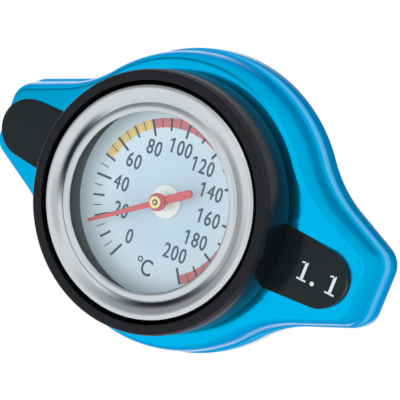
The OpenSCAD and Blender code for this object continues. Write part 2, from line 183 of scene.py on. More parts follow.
def pick(piece, test, kind="VERT"):
    """Selects the vertices or the edges of piece whose ends all pass test, in edit mode."""
    bpy.ops.object.mode_set(mode="OBJECT")
    mesh = piece.data
    good = [test(v.co / MM) for v in mesh.vertices]
    mesh.vertices.foreach_set("select", [False] * len(mesh.vertices))
    mesh.edges.foreach_set("select", [False] * len(mesh.edges))
    mesh.polygons.foreach_set("select", [False] * len(mesh.polygons))
    if kind == "VERT":
        mesh.vertices.foreach_set("select", good)
    else:
        mesh.edges.foreach_set("select", [all(good[i] for i in e.vertices) for e in mesh.edges])
    bpy.ops.object.mode_set(mode="EDIT")
    bpy.ops.mesh.select_mode(type=kind)


def turned(name, section, corner=0.15, steps=144):
    """Spins a closed cross-section of (radius, height) corners about the cap axis, corners rounded."""
    piece = ring_of(name, [(r, 0, z) for r, z in section])
    edit(piece)
    if corner:
        pick(piece, lambda p: p.x > 0.01)
        bpy.ops.mesh.bevel(offset=corner * MM, segments=3, affect="VERTICES", clamp_overlap=True)
    bpy.ops.mesh.select_all(action="SELECT")
    bpy.ops.mesh.delete(type="ONLY_FACE")
    bpy.ops.mesh.select_all(action="SELECT")
    bpy.ops.mesh.spin(steps=steps, angle=2 * math.pi, center=(0, 0, 0), axis=(0, 0, 1))
    return close_edit(piece)


def raised(name, points, height, corner=0.0):
    """A flat outline drawn up to height, with the edges of its top rounded."""
    piece = ring_of(name, points)
    base = points[0][2]
    edit(piece)
    bpy.ops.mesh.extrude_region_move(TRANSFORM_OT_translate={"value": (0, 0, height * MM)})
    if corner:
        pick(piece, lambda p: p.z > base + height - 1e-4, "EDGE")
        bpy.ops.mesh.bevel(offset=corner * MM, segments=4, affect="EDGES", clamp_overlap=True)
    return close_edit(piece)


def carve(piece, cutter):
    """Cuts the cutter out of piece and removes it."""
    activate(piece)
    cut = piece.modifiers.new("cut", "BOOLEAN")
    cut.operation = "DIFFERENCE"
    cut.solver = "EXACT"
    cut.object = cutter
    bpy.ops.object.modifier_apply(modifier=cut.name)
    bpy.data.objects.remove(cutter)
    return piece


def join(name, pieces):
    clear_selection()
    for piece in pieces:
        piece.select_set(True)
    bpy.context.view_layer.objects.active = pieces[0]
    bpy.ops.object.join()
    joined = bpy.context.object
    joined.name = name
    return joined


def place(piece, matrix):
    """Puts a turn or a shift into the mesh itself."""
    piece.data.transform(matrix)
    return piece


def turn_z(degrees):
    return Matrix.Rotation(math.radians(degrees), 4, "Z")


def polar(radius, degrees):
    return radius * math.cos(math.radians(degrees)), radius * math.sin(math.radians(degrees))


# Colours and finishes

def srgb(code):
    values = [int(code[i:i + 2], 16) / 255 for i in (1, 3, 5)]
    return [v / 12.92 if v <= 0.04045 else ((v + 0.055) / 1.055) ** 2.4 for v in values] + [1.0]


def link_value(tree, kind, operation, first, second=None):
    node = tree.nodes.new(kind)
    node.operation = operation
    for socket, value in zip(node.inputs, (first, second)):
        if value is None:
            continue
        if isinstance(value, (int, float, tuple)):
            socket.default_value = value
        else:
            tree.links.new(value, socket)
    return node.outputs[0]


def dot(tree, vector, direction):
    node = tree.nodes.new("ShaderNodeVectorMath")
    node.operation = "DOT_PRODUCT"
    node.inputs[1].default_value = direction
    tree.links.new(vector, node.inputs[0])
    return node.outputs["Value"]


def fade(tree, value, low_end, high_end, first, last):
    node = tree.nodes.new("ShaderNodeMapRange")
    node.interpolation_type = "SMOOTHSTEP"
    node.inputs["From Min"].default_value = low_end
    node.inputs["From Max"].default_value = high_end
    node.inputs["To Min"].default_value = first
    node.inputs["To Max"].default_value = last
    tree.links.new(value, node.inputs["Value"])
    return node.outputs["Result"]


def from_axis(tree):
    """The way out from the cap axis at each point of a surface, and its length."""
    where = tree.nodes.new("ShaderNodeTexCoord").outputs["Object"]
    outward = link_value(tree, "ShaderNodeVectorMath", "MULTIPLY", where, (1, 1, 0))
    radius = tree.nodes.new("ShaderNodeVectorMath")
    radius.operation = "LENGTH"
    tree.links.new(outward, radius.inputs[0])
    return outward, radius.outputs["Value"]


def new_group(name, inputs, outputs):
    """An empty shader group with number sockets, and its two end nodes."""
    tree = bpy.data.node_groups.new(name, "ShaderNodeTree")
    for socket in inputs:
        tree.interface.new_socket(socket, in_out="INPUT", socket_type="NodeSocketFloat")
    for socket in outputs:
        tree.interface.new_socket(socket, in_out="OUTPUT", socket_type="NodeSocketFloat")
    return tree, tree.nodes.new("NodeGroupInput"), tree.nodes.new("NodeGroupOutput")


def make_grain_group():
    """Fine moulded or rolled grain, and slow handling smudges."""
    tree, into, out = new_group("fine_grain", ("Grain Scale", "Smudge Scale"), ("Height", "Smudge"))
    where = tree.nodes.new("ShaderNodeTexCoord")
    grain, smudge = tree.nodes.new("ShaderNodeTexNoise"), tree.nodes.new("ShaderNodeTexNoise")
    grain.inputs["Detail"].default_value = 3
    smudge.inputs["Detail"].default_value = 4
    smudge.inputs["Roughness"].default_value = 0.6
    for noise, scale in ((grain, "Grain Scale"), (smudge, "Smudge Scale")):
        tree.links.new(where.outputs["Object"], noise.inputs["Vector"])
        tree.links.new(into.outputs[scale], noise.inputs["Scale"])
    tree.links.new(grain.outputs["Fac"], out.inputs["Height"])
    tree.links.new(smudge.outputs["Fac"], out.inputs["Smudge"])
    return tree


def make_lathe_group():
    """Fine rings about the cap axis, as a lathe or a polishing wheel leaves them."""
    tree, into, out = new_group("lathe_rings", ("Rings",), ("Height",))
    radius = from_axis(tree)[1]
    scaled = link_value(tree, "ShaderNodeMath", "MULTIPLY", radius, into.outputs["Rings"])
    noise = tree.nodes.new("ShaderNodeTexNoise")
    noise.noise_dimensions = "1D"
    noise.inputs["Scale"].default_value = 1
    noise.inputs["Detail"].default_value = 2
    tree.links.new(scaled, noise.inputs["W"])
    tree.links.new(noise.outputs["Fac"], out.inputs["Height"])
    return tree


def make_sheen_group():
    """Painted reflection: dark streaks in the channel of a turned ring that stand in for dark reflections,
    soft at their ends and at both edges.
    """
    tree, into, out = new_group("dark_reflection_streaks", ("Inner", "Outer"), ("Streak",))
    flat, radius = from_axis(tree)
    outward = link_value(tree, "ShaderNodeVectorMath", "NORMALIZE", flat)
    total = None
    for azimuth, half, strength in PAINTED_STREAKS:
        x, y = polar(1, azimuth)
        end = math.cos(math.radians(half))
        near = fade(tree, dot(tree, outward, (x, y, 0)), end, 1.0, 0.0, strength)
        total = near if total is None else link_value(tree, "ShaderNodeMath", "ADD", total, near)
    inside = fade(tree, radius, 0.0, 1.0, 0.0, 1.0)
    outside = fade(tree, radius, 0.0, 1.0, 1.0, 0.0)
    for edge, name, soft in ((inside, "Inner", 0.0002), (outside, "Outer", 0.0005)):
        for limit, operation in (("From Min", "SUBTRACT"), ("From Max", "ADD")):
            place_of_edge = link_value(tree, "ShaderNodeMath", operation, into.outputs[name], soft)
            tree.links.new(place_of_edge, edge.node.inputs[limit])
    both = link_value(tree, "ShaderNodeMath", "MULTIPLY", inside, outside)
    tree.links.new(link_value(tree, "ShaderNodeMath", "MULTIPLY", both, total), out.inputs["Streak"])
    return tree


# Painted reflection streaks: middle direction and half width, in degrees, and strength
PAINTED_STREAKS = ((173, 36, 1.0), (-58, 44, 1.0), (19, 62, 0.5))
GRAIN = make_grain_group()
LATHE = make_lathe_group()
PAINTED_REFLECTION = make_sheen_group()


def finish(name, light, dark, rough, grain=3000, smudge=90, bump=0.05, rings=0, **plain):
    """A surface between two colours, with roughness from rough[0] to rough[1] and a fine relief."""
    material = bpy.data.materials.new(name)
    material.use_nodes = True
    tree = material.node_tree
    shader = tree.nodes["Principled BSDF"]
    effect = tree.nodes.new("ShaderNodeGroup")
    effect.node_tree = GRAIN
    effect.inputs["Grain Scale"].default_value = grain
    effect.inputs["Smudge Scale"].default_value = smudge
    tint = tree.nodes.new("ShaderNodeMix")
    tint.data_type = "RGBA"
    tint.inputs["A"].default_value = srgb(light)
    tint.inputs["B"].default_value = srgb(dark)
    tree.links.new(effect.outputs["Smudge"], tint.inputs["Factor"])
    tree.links.new(tint.outputs["Result"], shader.inputs["Base Color"])
    sheen = tree.nodes.new("ShaderNodeMapRange")
    sheen.inputs["From Min"].default_value = 0.25
    sheen.inputs["From Max"].default_value = 0.75
    sheen.inputs["To Min"].default_value = rough[0]
    sheen.inputs["To Max"].default_value = rough[1]
    tree.links.new(effect.outputs["Smudge"], sheen.inputs["Value"])
    tree.links.new(sheen.outputs["Result"], shader.inputs["Roughness"])
    height = effect.outputs["Height"]
    if rings:
        lathe = tree.nodes.new("ShaderNodeGroup")
        lathe.node_tree = LATHE
        lathe.inputs["Rings"].default_value = rings
        height = lathe.outputs["Height"]
    relief = tree.nodes.new("ShaderNodeBump")
    relief.inputs["Strength"].default_value = bump
    relief.inputs["Distance"].default_value = 0.0001
    tree.links.new(height, relief.inputs["Height"])
    tree.links.new(relief.outputs["Normal"], shader.inputs["Normal"])
    for socket, value in plain.items():
        shader.inputs[socket.replace("_", " ").title().replace("Ior", "IOR")].default_value = value
    return material


def add_edge_coat(material, middle, edge):
    """A clear coat that shows most where the surface turns away from view."""
    tree = material.node_tree
    facing = tree.nodes.new("ShaderNodeLayerWeight").outputs["Facing"]
    weight = fade(tree, facing, 0.7, 0.97, middle, edge)
    tree.links.new(weight, tree.nodes["Principled BSDF"].inputs["Coat Weight"])


def paint_over(material, code, mask):
    """Turns the base colour into another one where the mask is high."""
    tree = material.node_tree
    base = tree.nodes["Principled BSDF"].inputs["Base Color"]
    over = tree.nodes.new("ShaderNodeMix")
    over.data_type = "RGBA"
    over.inputs["B"].default_value = srgb(code)
    tree.links.new(mask, over.inputs["Factor"])
    tree.links.new(base.links[0].from_socket, over.inputs["A"])
    tree.links.new(over.outputs["Result"], base)


def add_line(material, code, bottom, top, soft=0.2):
    """A painted highlight: a paler line in the base colour all round the part, between two heights in
    millimetres.
    """
    tree = material.node_tree
    where = tree.nodes.new("ShaderNodeSeparateXYZ")
    tree.links.new(tree.nodes.new("ShaderNodeTexCoord").outputs["Object"], where.inputs["Vector"])
    height = where.outputs["Z"]
    rising = fade(tree, height, (bottom - soft) * MM, (bottom + soft) * MM, 0.0, 1.0)
    falling = fade(tree, height, (top - soft) * MM, (top + soft) * MM, 1.0, 0.0)
    paint_over(material, code, link_value(tree, "ShaderNodeMath", "MULTIPLY", rising, falling))


def add_rim_tint(material, code, inner, outer):
    """Painted light: a round face that turns to another colour from one radius to another, in millimetres,
    to lift the shade near its edge.
    """
    tree = material.node_tree
    radius = from_axis(tree)[1]
    paint_over(material, code, fade(tree, radius, inner * MM, outer * MM, 0.0, 1.0))


def add_streaks(material, dark, inner, outer):
    """Paints dark reflection streaks into the base colour of a turned ring, between two radii in
    millimetres.
    """
    sheen = material.node_tree.nodes.new("ShaderNodeGroup")
    sheen.node_tree = PAINTED_REFLECTION
    sheen.inputs["Inner"].default_value = inner * MM
    sheen.inputs["Outer"].default_value = outer * MM
    paint_over(material, dark, sheen.outputs["Streak"])


blue_anodised = finish("blue_anodised", "#00a3d3", "#009ccb", (0.1, 0.15), grain=2500, bump=0.012,
                       metallic=1.0, specular_tint=srgb("#34bfec"), coat_roughness=0.08)
add_edge_coat(blue_anodised, 0.0, 0.9)
# Painted highlight: a paler band along the bead low on the cover's side
add_line(blue_anodised, "#52a9d8", -4.3, -2.75)
black_moulding = finish("black_moulding", "#0a0d11", "#0e1115", (0.18, 0.27), grain=5200, bump=0.02,
                        specular_ior_level=0.15)
inlay_black = finish("inlay_black", "#12181a", "#161c1e", (0.1, 0.16), grain=5200, bump=0.015,
                     specular_ior_level=0.13)
bezel_steel = finish("bezel_steel", "#bcbfc1", "#b1b5b8", (0.13, 0.2), rings=9000, bump=0.03, metallic=1.0)
# Painted reflection: dark streaks in the colour of the bezel's channel
add_streaks(bezel_steel, "#242223", 18.15, 19.25)
case_steel = finish("case_steel", "#9da1a4", "#888c90", (0.3, 0.42), rings=6000, bump=0.06, metallic=1.0)
plated_steel = finish("plated_steel", "#c9cbc6", "#b0b4b1", (0.24, 0.4), grain=2600, smudge=160, bump=0.05,
                      metallic=1.0)
stainless = finish("stainless", "#c9ccce", "#b4b8ba", (0.2, 0.34), rings=7000, bump=0.05, metallic=1.0)
spring_steel = finish("spring_steel", "#a4a8aa", "#85898c", (0.25, 0.4), grain=4200, bump=0.06, metallic=1.0)
brass = finish("brass", "#ead9a8", "#dcc68c", (0.22, 0.36), rings=8000, bump=0.05, metallic=1.0)
bimetal = finish("bimetal", "#b58f58", "#8c6a3d", (0.3, 0.45), grain=3600, bump=0.06, metallic=1.0)
rubber = finish("rubber", "#1b1c1e", "#26272a", (0.62, 0.8), grain=4200, bump=0.12)
spacer_grey = finish("spacer_grey", "#0b0e0f", "#111517", (0.65, 0.8), grain=4000, bump=0.06,
                     specular_ior_level=0.03)
dial_paint = finish("dial_paint", "#bdd4e2", "#b5cddc", (0.5, 0.62), grain=9000, smudge=40, bump=0.03)
# Painted light: the dial lighter towards its edge, against the shade that falls there under the lip
add_rim_tint(dial_paint, "#e2f6ff", 7, 17)
washer_white = finish("washer_white", "#eff1ef", "#e2e6e6", (0.4, 0.55), grain=6000, bump=0.04)
print_grey = finish("print_grey", "#1b384f", "#264259", (0.5, 0.65), grain=9000, bump=0.03)
print_red = finish("print_red", "#da767b", "#d16e74", (0.5, 0.65), grain=9000, bump=0.03)
print_yellow = finish("print_yellow", "#f2d276", "#e8c86c", (0.5, 0.65), grain=9000, bump=0.03)
print_cream = finish("print_cream", "#f2e3ae", "#e9d9a2", (0.5, 0.65), grain=9000, bump=0.03)
print_white = finish("print_white", "#d2d9dc", "#c6ced1", (0.45, 0.6), grain=9000, bump=0.03)
pointer_red = finish("pointer_red", "#c24a52", "#b8434b", (0.38, 0.52), grain=6000, bump=0.04)
nylon = finish("nylon", "#ddd8c8", "#cfc9b6", (0.4, 0.55), grain=4000, bump=0.05)
clear_glass = finish("clear_glass", "#dfe9ee", "#d8e4ea", (0.02, 0.05), grain=300, bump=0.004, alpha=0.04)


def dress(piece, body, slot, material, *stands_for):
    """Gives a finished piece its body, finish and the solids that it stands for."""
    piece.data.materials.clear()
    piece.data.materials.append(material)
    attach(piece, body)
    if stands_for:
        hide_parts(*stands_for)
    return piece


# Winged cover

def cover_outline(inset):
    """The cover's plan moved inwards by inset: wing corner, hollow and round part in each quarter."""
    normal = Vector((math.sin(WING_FLARE), math.cos(WING_FLARE)))
    along = Vector((math.cos(WING_FLARE), -math.sin(WING_FLARE)))
    to_hollow = math.sqrt((COVER_R + HOLLOW_R) ** 2 - (WING_SIDE + HOLLOW_R) ** 2)
    hollow = (WING_SIDE + HOLLOW_R) * normal + to_hollow * along
    hollow_dir = math.atan2(hollow.y, hollow.x)
    normal_dir = math.pi / 2 - WING_FLARE
    corner_x = WING_HALF - CORNER_R
    corner = Vector((corner_x, (WING_SIDE - CORNER_R - normal.x * corner_x) / normal.y))

    def arc(centre, radius, start, end, steps, first=0):
        turns = [start + (end - start) * k / steps for k in range(first, steps + 1)]
        return [centre + radius * Vector((math.cos(a), math.sin(a))) for a in turns]

    quarter = arc(corner, CORNER_R - inset, 0, normal_dir, 10)
    quarter += arc(hollow, HOLLOW_R + inset, math.pi + normal_dir, math.pi + hollow_dir, 18)
    quarter += arc(Vector((0, 0)), COVER_R - inset, hollow_dir, math.pi / 2, 26, 1)
    half = quarter + [Vector((-p.x, p.y)) for p in reversed(quarter[:-1])]
    return half + [-p for p in half]


def grown(name, rings):
    """A solid drawn up from its first ring through all the others."""
    piece = ring_of(name, rings[0])
    edit(piece)
    for before, after in zip(rings, rings[1:]):
        bpy.ops.mesh.extrude_region_move(TRANSFORM_OT_translate={"value": (0, 0, 0)})
        bpy.ops.object.mode_set(mode="OBJECT")
        tree = KDTree(len(before))
        for index, point in enumerate(before):
            tree.insert(Vector(point) * MM, index)
        tree.balance()
        for vertex in piece.data.vertices:
            if vertex.select:
                vertex.co = Vector(after[tree.find(vertex.co)[1]]) * MM
        bpy.ops.object.mode_set(mode="EDIT")
    return close_edit(piece, 30)


def deck_fall(radius):
    """How far the domed top has dropped at a distance from the axis."""
    out = max(radius - DOME_START, 0.0)
    return DOME_FALL * out * out / (out + DOME_SOFT)


def cover_ring(inset, z, domed=False):
    """One level of the cover; the domed levels fall away from the cup."""
    return [(p.x, p.y, z - (deck_fall(p.length) if domed else 0.0)) for p in cover_outline(inset)]


# Side of the cover from the foot up, as inset and height: flange, bead, fine line, flare
COVER_SIDE = (
    (-0.1, -7.5), (-0.3, -7.38), (-LEDGE_OUT, -7.1), (-LEDGE_OUT, -4.5),
    (-0.38, -4.15), (-0.33, -3.85), (-0.25, -3.55), (-0.15, -3.3),
    (-0.05, -3.2), (-0.14, -3.05),
    (-0.02, -2.75), (0.08, -2.45), (0.16, -2.15), (0.22, -1.85), (WALL_IN, -1.65),
)


def make_cover():
    rings = [cover_ring(inset, z) for inset, z in COVER_SIDE]
    wall_top = deck - SHOULDER_H
    steps = 22
    for k in range(steps + 1):
        a = math.pi / 2 * k / steps
        inset = WALL_IN + (SHOULDER_W - WALL_IN) * (1 - math.cos(a))
        rings.append(cover_ring(inset, wall_top + SHOULDER_H * math.sin(a), True))
    inner = 22.0
    for share in (0.03, 0.12, 0.25, 0.4, 0.55, 0.7, 0.85, 1.0):
        deck_ring = []
        for p in cover_outline(SHOULDER_W):
            r = p.length + (inner - p.length) * share
            deck_ring.append((p.x * r / p.length, p.y * r / p.length, deck - deck_fall(r)))
        rings.append(deck_ring)
    piece = grown("cover_body", rings)
    below = cover_low - 2
    space = [(0, below), (SHELL_SPACE_R, below), (SHELL_SPACE_R, SHELL_SPACE_TOP), (0, SHELL_SPACE_TOP)]
    carve(piece, turned("cavity", space, 0))
    hole_r = SPIGOT_R + 0.05
    carve(piece, turned("cup_hole", [(0, 2), (hole_r, 2), (hole_r, 12), (0, 12)], 0, 192))
    start = cover_low - 1
    for turn in (0, 180):
        for side in (1, -1):
            plan = [(x, side * y, start) for x, y in WING_HOLLOW]
            plan = plan if side > 0 else plan[::-1]
            carve(piece, place(raised("wing_hollow", plan, WING_ROOF - start), turn_z(turn)))
    activate(piece)
    bpy.ops.object.shade_smooth_by_angle(angle=math.radians(30))
    return dress(piece, "cap", "blue_anodised", blue_anodised, "wing_cover")


# Black moulding: cup and inlays

def inlay_outline():
    """Plan of an inlay: two sides that close in towards a round tip."""
    end_r = (math.cos(INLAY_TAPER) * INLAY_W - math.sin(INLAY_TAPER) * (INLAY_TIP - INLAY_X))
    end_r = end_r / (1 - math.sin(INLAY_TAPER))
    centre = INLAY_TIP - end_r
    start_x = INLAY_X - 1.2
    start_w = INLAY_W + math.tan(INLAY_TAPER) * (INLAY_X - start_x)
    turn = math.pi / 2 - INLAY_TAPER
    tip = [(centre + end_r * math.cos(a), end_r * math.sin(a))
           for a in (turn * k / 24 for k in range(-24, 25))]
    return [(start_x, start_w), (start_x, -start_w)] + tip


def make_cup():
    foot = deck - 0.05
    floor_top = cup_floor + CUP_FLOOR_T
    outside = [(CUP_FOOT_R, foot)] + [(r, rim_top - depth) for r, depth in CUP_EDGE]
    inside = [(CUP_BORE, rim_top), (CUP_BORE, floor_top), (CUP_HOLE_R, floor_top), (CUP_HOLE_R, cup_floor)]
    spigot = [(SPIGOT_R, cup_floor), (SPIGOT_R, foot)]
    cup = turned("cup_wall", outside + inside + spigot, 0.04, 192)
    dress(cup, "cap", "black_plastic", black_moulding, "gauge_cup")
    inlay_low = cup_floor + 0.1
    inlay_top = deck + 0.2
    for name, turn in (("inlay_numbered", 0), ("inlay_plain", 180)):
        plan = [(x, y, inlay_low) for x, y in inlay_outline()]
        inlay = raised(name, plan, inlay_top - inlay_low, 0.18)
        dress(place(inlay, turn_z(turn)), "cap", "black_plastic", inlay_black, "gauge_cup")
    return inlay_top


def make_pressure_number(top):
    """The plain white number on one inlay: two upright strokes with feet and flags, and a point."""
    parts = []
    start = top - 0.01
    for x in (30.3, 36.45):
        foot = [(x - 1.0, -1.85), (x + 1.0, -1.85), (x + 1.0, -1.53), (x - 1.0, -1.53)]
        stem = [(x - 0.3, -1.6), (x + 0.3, -1.6), (x + 0.3, 1.8), (x - 0.3, 1.66)]
        flag = [(x - 1.0, 1.2), (x - 0.2, 1.42), (x + 0.3, 1.8), (x - 1.0, 1.52)]
        for plan in (foot, stem, flag):
            parts.append(raised("stroke", [(px, py, start) for px, py in plan], PRINT_T))
    point_x, point_y, point_r = 32.6, -1.5, 0.42
    ring = [polar(point_r, 15 * k) for k in range(24)]
    parts.append(raised("point", [(point_x + px, point_y + py, start) for px, py in ring], PRINT_T))
    return dress(join("pressure_number", parts), "cap", "black_plastic", print_white)


# Gauge front

def make_bezel():
    r = reach("bezel_ring") + 0.25
    top = high("bezel_ring")
    lip = LIP_R
    under = glass_high + 0.05
    crest, crest_h = r - 1.0, 0.95
    shoulder = [(crest + (r - crest) * math.cos(a), top - crest_h + crest_h * math.sin(a))
                for a in (math.radians(9 * k) for k in range(11))]
    foot, depth = lip + 1.95, 0.8
    fall = [k / 14 for k in range(1, 15)]
    shoulder += [(crest + (foot - crest) * t, top - depth * t * t * (3 - 2 * t)) for t in fall]
    channel = [(lip + 1.75, top - 0.77), (lip + 1.54, top - 0.66), (lip + 1.36, top - 0.48),
               (lip + 1.16, top - 0.34), (lip + 0.9, top - 0.28), (lip + 0.45, top - 0.25)]
    edge = [(lip + 0.15, top - 0.33), (lip, top - 0.5), (lip, under)]
    bottom = low("bezel_ring")
    skirt = [(r - 0.65, under), (r - 0.65, bottom), (r - 0.25, bottom), (r, top - 1.4)]
    piece = turned("bezel", shoulder + channel + edge + skirt, 0, 216)
    return dress(piece, "cap", "bezel_steel", bezel_steel, "bezel_ring")


def make_gauge_front():
    make_bezel()
    r = reach("glass_lens")
    glass = turned("window_glass", [(0, glass_low), (r, glass_low), (r, glass_high), (0, glass_high)], 0.15)
    dress(glass, "cap", "glass", clear_glass, "glass_lens")
    r = reach("spacer_ring")
    inner, foot = 18.55, 18.3
    top = high("spacer_ring")
    wall = [(foot, dial_face), (foot, dial_face + 0.3), (inner, dial_face + 0.45), (inner, top), (r, top),
            (r, dial_face)]
    dress(turned("spacer_wall", wall, 0.06), "cap", "dark_plastic", spacer_grey, "spacer_ring")
    r = reach("dial_plate")
    back = low("dial_plate")
    plate = [(DIAL_BORE, back), (r, back), (r, dial_face), (DIAL_BORE, dial_face)]
    dress(turned("dial_face", plate, 0.05), "cap", "dial_paint", dial_paint, "dial_plate")
    r, top = reach("dial_washer"), high("dial_washer")
    nose = high("upper_bush") + 0.02
    collar = nose + 0.1
    disc = [(DIAL_BORE, dial_face), (r, dial_face), (r, top), (1.7, top), (1.55, collar), (0.62, collar),
            (0.62, nose), (DIAL_BORE, nose)]
    dress(turned("dial_washer_disc", disc, 0.04), "cap", "white_plastic", washer_white, "dial_washer")


# Dial print

def dial_angle(value):
    return ZERO_ANGLE - DEGREES_PER_UNIT * value


def tick_size(value):
    """Inner radius and width of the tick at a value."""
    if value % 20 == 0:
        return 12.3, 0.46
    if value % 10 == 0:
        return 13.05, 0.4
    return 13.65, 0.17


def make_ticks():
    parts = []
    for value in range(0, 201, 5):
        inner, width = tick_size(value)
        plan = [(inner, -width / 2), (TICK_OUT, -width / 2), (TICK_OUT, width / 2), (inner, width / 2)]
        mark = raised("mark", [(x, y, dial_face) for x, y in plan], PRINT_T)
        parts.append(place(mark, turn_z(dial_angle(value))))
    return dress(join("dial_ticks", parts), "cap", "dial_paint", print_grey)


def make_band(name, start, end, material):
    steps = max(8, (end - start) // 2)
    angles = [dial_angle(start + (end - start) * k / steps) for k in range(steps + 1)]
    plan = [polar(TICK_OUT, a) for a in reversed(angles)] + [polar(BAND_IN, a) for a in angles]
    band = raised(name, [(x, y, dial_face) for x, y in plan], 0.015)
    return dress(band, "cap", "dial_paint", material)


def make_band_lines():
    """Pale hairlines across the yellow band, one between each two ticks."""
    parts = []
    half = 0.13
    for k in range(6):
        plan = [(BAND_IN, -half), (TICK_OUT, -half), (TICK_OUT, half), (BAND_IN, half)]
        line = raised("line", [(x, y, dial_face) for x, y in plan], 0.02)
        parts.append(place(line, turn_z(dial_angle(52.5 + 5 * k))))
    return dress(join("band_lines", parts), "cap", "dial_paint", print_cream)


def make_words():
    """Numerals on the dial and the degree sign with its letter."""
    parts = []
    digit_h, digit_w, narrow = 2.9, 1.6, 0.75
    left_x, left_y = -1.04, -0.46
    marks = [(str(v), dial_angle(v)) for v in range(0, 201, 20)]
    for words, angle in marks:
        wide = digit_w * len(words)
        x, y = polar(NUMERAL_R - 0.25 * wide * abs(math.cos(math.radians(angle))), angle)
        aside = SHIFT_LEFT.get(words, 0.0)
        parts.append(dial_text(words, x + left_x * aside, y + left_y * aside, digit_h, narrow))
    parts.append(dial_text("C", 1.15, -13.0, 3.2, 0.8))
    sign_x, sign_y, sign_r, hole_r = -0.7, -11.85, 0.56, 0.3
    ring = [polar(sign_r, 15 * k) for k in range(24)]
    hole = [polar(hole_r, 15 * k) for k in range(24)]
    sign = raised("sign", [(sign_x + x, sign_y + y, dial_face) for x, y in ring], 0.02)
    gap = raised("gap", [(sign_x + x, sign_y + y, dial_face - 0.1) for x, y in hole], 0.3)
    parts.append(carve(sign, gap))
    return dress(join("dial_numerals", parts), "cap", "dial_paint", print_grey)


def dial_text(words, x, y, height, narrow):
    """Raised letters of a height in millimetres, narrowed and turned with the dial."""
    size = height / CAPITAL
    clear_selection()
    bpy.ops.object.text_add()
    text = bpy.context.object
    text.data.body = words
    text.data.align_x = "CENTER"
    text.data.align_y = "CENTER"
    text.data.size = size * MM
    text.data.extrude = 0.01 * MM
    text.data.space_character = 1.14
    # A thickened outline would close the eye of a four
    has_four = "4" in words
    text.data.offset = 0.0 if has_four else THICKEN * MM
    bpy.ops.object.convert(target="MESH")
    piece = bpy.context.object
    if words.startswith("1"):
        piece = join("flagged", [piece, one_flag(piece, size)])
    shift = Matrix.Translation(Vector((x, y, dial_face + 0.01)) * MM)
    place(piece, shift @ turn_z(DIAL_TILT) @ Matrix.Diagonal((narrow, 1, 1, 1)))
    bold = 2 * BOLD if has_four else BOLD
    return join("bold_" + words, [piece, bold_copy(piece, bold, 1), bold_copy(piece, -bold, 2)])


def one_flag(piece, size):
    """The short slanted stroke at the head of a one."""
    left = min(v.co.x for v in piece.data.vertices) / MM
    stroke = [(0.03, 0.39), (-0.17, 0.28), (-0.17, 0.18), (0.03, 0.27)]
    return raised("flag", [(left + x * size, y * size, -0.01) for x, y in stroke], 0.02)


def bold_copy(piece, aside, layer):
    """The same letters once more, a hair to one side, which thickens their upright strokes."""
    again = piece.copy()
    again.data = piece.data.copy()
    bpy.context.scene.collection.objects.link(again)
    x, y = polar(aside, DIAL_TILT)
    return place(again, Matrix.Translation(Vector((x, y, -0.001 * layer)) * MM))


# Pointer

def make_pointer():
    length, tail = 15.2, 7.3
    tip_r, tail_r = 0.32, 0.78
    root_x, root_w = 1.2, 0.55
    tip = [(length - tip_r + tip_r * math.cos(a), tip_r * math.sin(a))
           for a in (math.radians(15 * k) for k in range(-6, 7))]
    end = [(-tail + tail_r - tail_r * math.cos(a), -tail_r * math.sin(a))
           for a in (math.radians(15 * k) for k in range(-6, 7))]
    plan = tip + [(root_x, root_w), (root_x, tail_r)] + end + [(root_x, -tail_r), (root_x, -root_w)]
    blade = raised("blade", [(x, y, blade_low) for x, y in plan], 0.4, 0.08)
    hub_top, hub_r, hole_r = high("pointer"), 1.65, 0.51
    section = [(hole_r, blade_low), (hub_r, blade_low), (hub_r, hub_top), (hole_r, hub_top)]
    hub = turned("hub", section, 0.12, 64)
    piece = place(join("pointer_blade", [blade, hub]), turn_z(POINTER_REST))
    dress(piece, "pointer_group", "pointer_red", pointer_red, "pointer")
    top = high("pointer_boss")
    cap = [(0.52, hub_top), (1.15, hub_top), (1.15, top), (0.56, top), (0.52, top - 0.1)]
    dress(turned("pointer_cap", cap, 0.08, 64), "pointer_group", "brass", brass, "pointer_boss")
    end = high("pointer_spindle")
    # A thin dark disc at the spindle end: painted shade in the gap round the pin
    gap = [(0, end), (0.5, end), (0.5, end + 0.01), (0, end + 0.01)]
    dress(turned("spindle_shade_disc", gap, 0, 48), "pointer_group", "dark_plastic", rubber)
    pin = [(0.1, end), (0.3, end), (0.3, end + 0.06), (0.1, end + 0.06)]
    dress(turned("spindle_end", pin, 0.02, 48), "pointer_group", "brass", brass)


# Underside

PROBE_R = 3.0
SLEEVE_R = 4.0
RIVET_R = 4.5
FIT = 0.06
CAGE_T = 0.8
PRESSED_T = 0.75


def ring_block(name, section, start, sweep, steps=20):
    """A cross-section swept part of the way round the cap axis."""
    piece = ring_of(name, [(r, 0, z) for r, z in section])
    place(piece, turn_z(start))
    edit(piece)
    bpy.ops.mesh.spin(steps=steps, angle=-math.radians(sweep), center=(0, 0, 0), axis=(0, 0, 1))
    return close_edit(piece)


def make_shell():
    r, top, bottom = reach("cap_shell"), high("cap_shell"), low("cap_shell")
    hole_r, wall = 4.6, 1.0
    inner, roof = r - wall, top - wall
    section = [(hole_r, roof), (inner, roof), (inner, bottom), (r, bottom), (r, top), (hole_r, top)]
    parts = [turned("skirt", section, 0.6, 192)]
    ear_in, ear_out, ear_top = inner - 4.2, r - 0.5, bottom + wall
    for turn in (0, 180):
        ear = [(ear_in, bottom), (ear_out, bottom), (ear_out, ear_top), (ear_in, ear_top)]
        parts.append(ring_block("ear", ear, turn - 22, 44))
    dress(join("bayonet_shell", parts), "cap", "plated_steel", plated_steel, "cap_shell")


